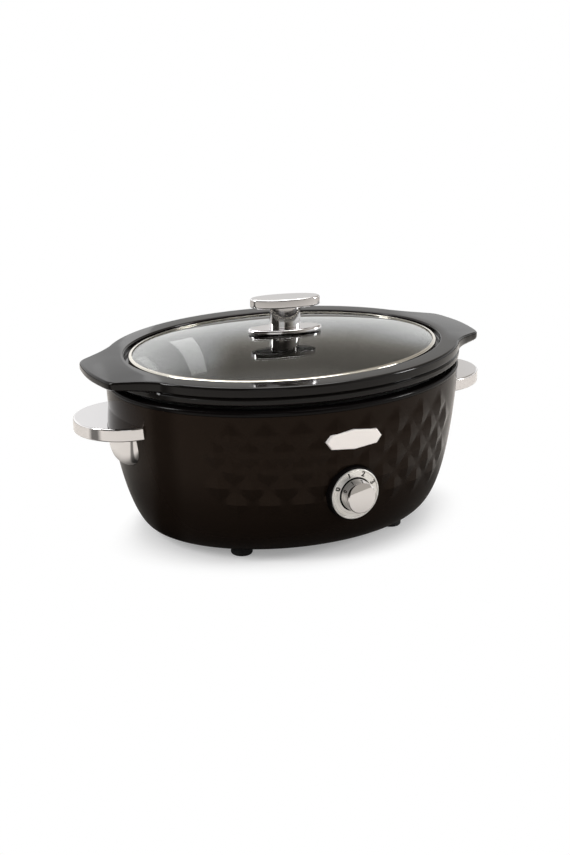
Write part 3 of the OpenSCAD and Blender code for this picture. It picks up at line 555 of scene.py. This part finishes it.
def make_lid():
    shares = np.concatenate([[1, 0.995], np.linspace(0.98, 0.1, 22), [LID_HOLE_R / GLASS_L * 1.5]])

    def dome(q, up):
        flat = GLASS_EDGE + DOME_RISE * (1 - q * q) + up
        return oval(GLASS_L * q, GLASS_W * q, flat)
    rings = [dome(q, 0) for q in shares[::-1]] + [dome(q, GLASS_T) for q in shares]
    for ring in (rings[0], rings[-1]):      # the screw hole is round
        ring[:, :2] *= (LID_HOLE_R / np.hypot(ring[:, 0], ring[:, 1]))[:, None]
    points, faces = joined(rings, loop=True)
    piece("lid_glass_dome", points, faces, glass, crease=50, body="lid",
          stands_for=["lid_glass"])

    top = GLASS_EDGE + GLASS_T + 0.1
    lip = DOME_RISE / 25
    steps = [(0.4, SEAT_Z, 0.3), (0, SEAT_Z + 0.6, 0.3), (0, top + 0.2, 0.6), (0.9, top + 0.9, 0.6),
             (3.2, top + lip + 0.8, 0.3), (3.2, top + lip), (0.8, top), (0.8, SEAT_Z + 0.8),
             (4.2, SEAT_Z + 0.8), (4.2, SEAT_Z)]
    points, faces = joined(section(LID_L, LID_W, rounded(steps)), loop=True)
    piece("lid_rim_band", points, faces, stainless, body="lid",
          stands_for=["lid_band"])

    crown = GLASS_EDGE + DOME_RISE * (1 - 0.15 ** 2) + GLASS_T
    base_z = crown + KNOB_SEAT_T
    stem_z = base_z + KNOB_BASE_H
    cap_z = stem_z + STEM_H

    def block(name, a, b, low, high, edge, node, blunt=2.0, crown=None):
        """Oval block with rounded edges; crown is the top edge's radius where it differs."""
        crown = crown or edge
        rings = []
        for t in range(0, 91, 15):
            k = math.radians(t)
            s = edge * (1 - math.sin(k))
            rings.append(blunt_oval(a - s, b - s, low + edge * (1 - math.cos(k)), blunt))
        for t in range(0, 91, 15):
            k = math.radians(t)
            s = crown * (1 - math.cos(k))
            rings.append(blunt_oval(a - s, b - s, high - crown * (1 - math.sin(k)), blunt))
        points, faces = joined(rings)
        piece(name, turned(points), faces, chrome, body="lid", stands_for=[node])

    block("knob_base", 35.3, 14, base_z, stem_z, 0.5, "lid_knob_base", crown=2.6)
    block("knob_stem", 14.7, 7, stem_z, cap_z, 0.3, "lid_knob_stem")
    block("knob_cap", 33, 12.5, cap_z, cap_z + CAP_H, 1.3, "lid_knob_cap", blunt=2.2)


# ---- Handles --------------------------------------------------------------------------------
def make_handles():
    root, bottom = HOUSING_L - 12.5, GRIP_Z - GRIP_T
    out = GRIP_REACH - root

    def ring(reach, half, z, blunt=1.0):
        t = np.radians(np.linspace(0, 180, 73))
        x, y = np.abs(np.sin(t)) ** blunt, np.sign(np.cos(t)) * np.abs(np.cos(t)) ** blunt
        arc = np.column_stack([root + reach * x, -half * y])
        back = np.array([(root - 4, half), (root - 4, -half)])
        return np.column_stack([np.concatenate([arc, back]), np.full(75, float(z))])
    rings = []
    for t in range(0, 91, 10):
        k = math.radians(t)
        s = 1 - math.sin(k)
        rings.append(ring(BRACKET_OUT - 4 * s, BRACKET_HALF_W - 18 * s,
                          bottom - BRACKET_H + 20 * (1 - math.cos(k)), 0.77))
    rings += [ring(BRACKET_OUT, BRACKET_HALF_W, bottom - 1, 0.77),
              ring(out - 1.5, GRIP_HALF_W - 1.5, bottom)]
    for t in range(15, 91, 15):
        k = math.radians(t)
        rings.append(ring(out - 1.5 * (1 - math.sin(k)), GRIP_HALF_W - 1.5 * (1 - math.sin(k)),
                          bottom + 1.5 * (1 - math.cos(k))))
    for t in range(0, 91, 15):
        k = math.radians(t)
        rings.append(ring(out - 1.5 * (1 - math.cos(k)), GRIP_HALF_W - 1.5 * (1 - math.cos(k)),
                          GRIP_Z - 1.5 * (1 - math.sin(k))))
    points, faces = joined(rings)
    points = np.array(points)
    for side in (1, -1):
        flipped = points * (side, 1, 1)
        turned_faces = faces if side > 0 else [f[::-1] for f in faces]
        name, node = ("right_handle", "handle_right") if side > 0 else ("left_handle", "handle_left")
        piece(name, flipped, turned_faces, chrome, body="housing",
              stands_for=[node])


# ---- Dial -----------------------------------------------------------------------------------
def make_numbers():
    """Numbers 0 to 3 round the dial plate, upright along its rings."""
    for text, angle in zip("0123", (157, 110, 67, 27)):
        curve = bpy.data.curves.new("number_" + text, "FONT")
        curve.body, curve.size, curve.extrude, curve.offset = text, 0.0066, 0.00006, 0.0003
        curve.align_x, curve.align_y = "CENTER", "CENTER"
        made = bpy.data.objects.new("number_" + text, curve)
        bpy.context.scene.collection.objects.link(made)
        bpy.context.view_layer.update()
        shown = made.evaluated_get(bpy.context.evaluated_depsgraph_get())
        mesh = bpy.data.meshes.new_from_object(shown)
        bpy.data.objects.remove(made)
        t = math.radians(angle)
        radius = 0.019
        where = (Matrix.Translation((radius * math.cos(t), (STAND_Y - DIAL_REACH + 0.5) / 1000,
                                     DIAL_Z / 1000 + radius * math.sin(t)))
                 @ Matrix.Rotation(math.radians(90 - angle), 4, "Y")
                 @ Matrix.Rotation(math.radians(90), 4, "X"))
        mesh.transform(where)
        number = bpy.data.objects.new("number_" + text, mesh)
        bpy.context.scene.collection.objects.link(number)
        mesh.materials.clear()
        mesh.materials.append(ink)
        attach(number, "housing")


def make_badge():
    """Bare plate with a bevel all round."""
    corner = (0.83 * BADGE_L, 0.71 * BADGE_H)
    outline = np.array([(BADGE_L, 0), corner, (0, BADGE_H), (-corner[0], corner[1]),
                        (-BADGE_L, 0), (-corner[0], -corner[1]), (0, -BADGE_H),
                        (corner[0], -corner[1])])
    face = -(HOUSING_W + DIAMOND_RISE + 0.9)

    def ring(inset, y):
        p = outline * (1 - inset / BADGE_L, 1 - inset / BADGE_H)
        return np.column_stack([p[:, 0], np.full(8, float(y)), BADGE_Z + p[:, 1]])
    rings = [ring(0, -131.8), ring(0, face + 0.5), ring(0.6, face)]
    points, faces = joined(rings)
    piece("badge_plate", points, faces, badge_metal, crease=10, body="housing",
          stands_for=["badge"])


make_housing()
make_trim()
make_pot()
make_liner()
make_lid()
make_handles()
make_numbers()
make_badge()

KEPT = {
    "base_plate": powder, "feet": rubber, "foot_screws": zinc, "base_screws": zinc,
    "heater_band": mica, "insulation": wool, "liner_posts": zinc, "pot_pads": silicone,
    "lid_gasket": rubber,
    "lid_washer": rubber, "lid_screw": zinc, "handle_saddles": zinc, "handle_screws": zinc,
    "dial_collar": trim_plastic, "dial_plate": spun, "control_knob": chrome, "switch_spindle": zinc,
    "switch_bushing": brass, "switch_nut": zinc, "rotary_switch": phenolic, "switch_terminals": brass,
    "terminal_block": steatite, "thermal_fuse": mica, "fuse_clip": zinc, "wiring": sleeve,
    "cord_gland": rubber,
}
for name, finish in KEPT.items():
    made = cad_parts[name]
    made.data.materials.clear()
    made.data.materials.append(finish)


# ---- Stage, lamps and camera ----------------------------------------------------------------
def make_world():
    world = bpy.data.worlds.new("Studio")
    bpy.context.scene.world = world
    world.use_nodes = True
    tree = world.node_tree
    tree.nodes.clear()
    rays = add(tree, "ShaderNodeLightPath").outputs
    way = add(tree, "ShaderNodeTexCoord").outputs["Generated"]
    parts = add(tree, "ShaderNodeSeparateXYZ", {"Vector": way}).outputs
    turn = add(tree, "ShaderNodeMath", {0: parts["X"], 1: parts["Y"]}, operation="ARCTAN2").outputs[0]

    def ramp(value, start, end, low, high):
        """A soft step from low to high as the value goes from start to end."""
        return add(tree, "ShaderNodeMapRange", {
            "Value": value, "From Min": start, "From Max": end, "To Min": low, "To Max": high},
            interpolation_type="SMOOTHSTEP").outputs[0]

    def side(start, end, low, high):
        """The same over the compass angle, in degrees from straight behind the cooker."""
        return ramp(turn, math.radians(start), math.radians(end), low, high)

    def both(operation, a, b):
        return add(tree, "ShaderNodeMath", {0: a, 1: b}, operation=operation).outputs[0]

    def mixed(amount, a, b):
        """a where amount is 0, and b where it is 1."""
        return both("ADD", a, both("MULTIPLY", amount, both("SUBTRACT", b, a)))
    up = parts["Z"]
    # Behind: a pale wall that darkens upwards, and a softbox that reaches higher at the left
    wall = both("ADD", ramp(up, 0.12, 0.52, 0.88, 0.33), ramp(up, 0.58, 0.68, 0.0, 0.24))
    wall = both("ADD", wall, both("MULTIPLY", side(32, 38, 0.0, 0.36), ramp(up, 0.2, 0.46, 1.0, 0.0)))
    near = mixed(side(14.5, 18.0, 0.0, 1.0), 1.3, 0.98)
    near = both("MULTIPLY", near, ramp(up, 0.47, 0.6, 1.0, 0.7))
    level = mixed(side(18.8, 23.0, 1.0, 0.0), wall, near)
    # A dark room in front, with one softbox beside the camera
    behind = both("MULTIPLY", side(-105, -75, 0.0, 1.0), side(125, 180, 1.0, 0.0))
    level = both("MULTIPLY", level, behind)
    front = both("MULTIPLY", side(-178, -173, 0.0, 1.0), side(-158, -150, 1.0, 0.0))
    front = both("MULTIPLY", front, ramp(up, 0.3, 0.42, 0.95, 0.0))
    room = both("ADD", both("ADD", level, front), 0.05)
    # Its dim parts are warmer
    warmth = add(tree, "ShaderNodeMix", {"Factor": ramp(room, 0.35, 0.95, 0.0, 1.0)}, data_type="RGBA")
    warmth.inputs["A"].default_value = (1, 0.93, 0.83, 1)
    warmth.inputs["B"].default_value = (1, 1, 1, 1)
    lit = add(tree, "ShaderNodeBackground", {"Color": warmth.outputs["Result"], "Strength": room})
    white = add(tree, "ShaderNodeBackground", {"Color": (1, 1, 1, 1), "Strength": 1})
    soft = add(tree, "ShaderNodeBackground", {"Color": (1, 1, 1, 1), "Strength": 0.7})
    glossy = add(tree, "ShaderNodeMixShader", {0: rays["Is Glossy Ray"], 1: soft.outputs[0],
                                               2: lit.outputs[0]})
    shown = add(tree, "ShaderNodeMixShader", {0: rays["Is Camera Ray"], 1: glossy.outputs[0],
                                              2: white.outputs[0]})
    add(tree, "ShaderNodeOutputWorld", {"Surface": shown.outputs[0]})


def make_floor():
    mesh = bpy.data.meshes.new("floor")
    s = 30
    mesh.from_pydata([(-s, -s, 0), (s, -s, 0), (s, s, 0), (-s, s, 0)], [], [(0, 1, 2, 3)])
    floor = bpy.data.objects.new("floor", mesh)
    bpy.context.scene.collection.objects.link(floor)
    made = bpy.data.materials.new("white_paper")
    made.use_nodes = True
    tree = made.node_tree
    tree.nodes.clear()
    rays = add(tree, "ShaderNodeLightPath").outputs
    paper = add(tree, "ShaderNodeBsdfDiffuse", {"Color": (0.8, 0.8, 0.8, 1)})
    glow = add(tree, "ShaderNodeEmission", {"Color": (1, 1, 1, 1), "Strength": 0.26})
    near = add(tree, "ShaderNodeAddShader", {0: paper.outputs[0], 1: glow.outputs[0]})
    # The paper fades into a white backdrop away from the cooker
    where = add(tree, "ShaderNodeTexCoord").outputs["Object"]
    squeezed = add(tree, "ShaderNodeMapping", {"Vector": where, "Scale": (0.763, 1, 1),
                                                "Location": (0, -STAND_Y / 1000, 0)})
    reach = add(tree, "ShaderNodeVectorMath", {0: squeezed.outputs[0]}, operation="LENGTH")
    fade = add(tree, "ShaderNodeMapRange", {
        "Value": reach.outputs["Value"], "From Min": 0.1, "From Max": 0.145},
        interpolation_type="SMOOTHSTEP")
    white = add(tree, "ShaderNodeEmission", {"Color": (1, 1, 1, 1), "Strength": 1})
    paper_shown = add(tree, "ShaderNodeMixShader", {0: fade.outputs[0], 1: near.outputs[0],
                                                    2: white.outputs[0]})
    # To every ray but the camera's the paper is duller and carries painted shade: a painted dark
    # reflection in a wedge to its left, a painted contact shadow close by and painted dimming far away
    place = add(tree, "ShaderNodeSeparateXYZ", {"Vector": where}).outputs
    ahead = add(tree, "ShaderNodeMath", {0: place["Y"], 1: -1.0}, operation="MULTIPLY").outputs[0]
    compass = add(tree, "ShaderNodeMath", {0: place["X"], 1: ahead}, operation="ARCTAN2").outputs[0]
    # Bearing of the painted dark reflection
    painted_streak_bearing = math.radians(-84)        # from straight ahead of the dial
    off = add(tree, "ShaderNodeMath", {0: compass, 1: painted_streak_bearing}, operation="SUBTRACT")
    aside = add(tree, "ShaderNodeMath", {0: off.outputs[0]}, operation="ABSOLUTE").outputs[0]
    # Painted reflection: a dark wedge of floor to the left, which only the gloss and bounced light see
    painted_dark_streak = add(tree, "ShaderNodeMapRange", {
        "Value": aside, "From Min": math.radians(5), "From Max": math.radians(12),
        "To Min": 0.12, "To Max": 0.55})
    away = add(tree, "ShaderNodeVectorMath", {0: where}, operation="LENGTH").outputs["Value"]
    # Painted shade: the floor dims far away
    painted_far_dimming = add(tree, "ShaderNodeMapRange", {"Value": away, "From Min": 0.65, "From Max": 0.95,
                                           "To Min": 1.0, "To Max": 0.6})
    # Painted contact shadow: the floor darker close to the cooker
    painted_contact_shadow = add(tree, "ShaderNodeMapRange", {
        "Value": away, "From Min": 0.18, "From Max": 0.32, "To Min": 0.3, "To Max": 1.0},
        interpolation_type="SMOOTHSTEP")
    spread = add(tree, "ShaderNodeMath", {0: painted_far_dimming.outputs[0], 1: painted_contact_shadow.outputs[0]}, operation="MULTIPLY")
    # The floor's tone as the gloss sees it, with the painted shade and painted reflection in it
    painted_shade_tone = add(tree, "ShaderNodeMath", {0: painted_dark_streak.outputs[0], 1: spread.outputs[0]},
               operation="MULTIPLY")
    cream = add(tree, "ShaderNodeVectorMath", {0: (1, 0.95, 0.89)}, operation="SCALE")
    tree.links.new(painted_shade_tone.outputs[0], cream.inputs["Scale"])
    dull = add(tree, "ShaderNodeBsdfDiffuse", {"Color": cream.outputs[0]})
    shown = add(tree, "ShaderNodeMixShader", {0: rays["Is Camera Ray"], 1: dull.outputs[0],
                                              2: paper_shown.outputs[0]})
    add(tree, "ShaderNodeOutputMaterial", {"Surface": shown.outputs[0]})
    mesh.materials.append(made)


def make_lamp(name, place, aim, size, power, tint="ffffff"):
    lamp = bpy.data.lights.new(name, "AREA")
    lamp.shape, lamp.size, lamp.size_y = "RECTANGLE", size[0], size[1]
    lamp.energy, lamp.color = power, colour(tint)[:3]
    made = bpy.data.objects.new(name, lamp)
    made.location = place
    made.rotation_euler = (Vector(aim) - Vector(place)).to_track_quat("-Z", "Y").to_euler()
    bpy.context.scene.collection.objects.link(made)


def make_camera():
    az, el, distance = math.radians(-26.486), math.radians(18.901), 1.4664
    back = Vector((math.sin(az) * math.cos(el), -math.cos(az) * math.cos(el), math.sin(el)))
    data = bpy.data.cameras.new("camera")
    data.sensor_width, data.lens = 36, 1547.69 * 36 / 855
    made = bpy.data.objects.new("camera", data)
    made.location = Vector((0, STAND_Y / 1000, 0.0873)) + back * distance
    made.rotation_euler = (-back).to_track_quat("-Z", "Y").to_euler()
    bpy.context.scene.collection.objects.link(made)
    bpy.context.scene.camera = made


make_world()
make_floor()
make_camera()
make_lamp("top_softbox", (0.1, 0.3, 1.5), (0, 0, 0.1), (1.2, 0.9), 22)
make_lamp("tall_window", (0.327, 1.256, 0.79), (0.327, 0, 0.79), (0.06, 0.74), 0.075)
make_lamp("slim_window", (0.19, 1.256, 0.74), (0.19, 0, 0.74), (0.024, 0.32), 0.0085)
make_lamp("left_window", (-1.3, -0.1, 0.9), (0, 0, 0.1), (0.25, 0.8), 9)
make_lamp("right_window", (1.3, -0.78, 0.64), (0, 0, 0.1), (0.3, 0.4), 9)
bpy.context.scene.view_settings.view_transform = "Standard"
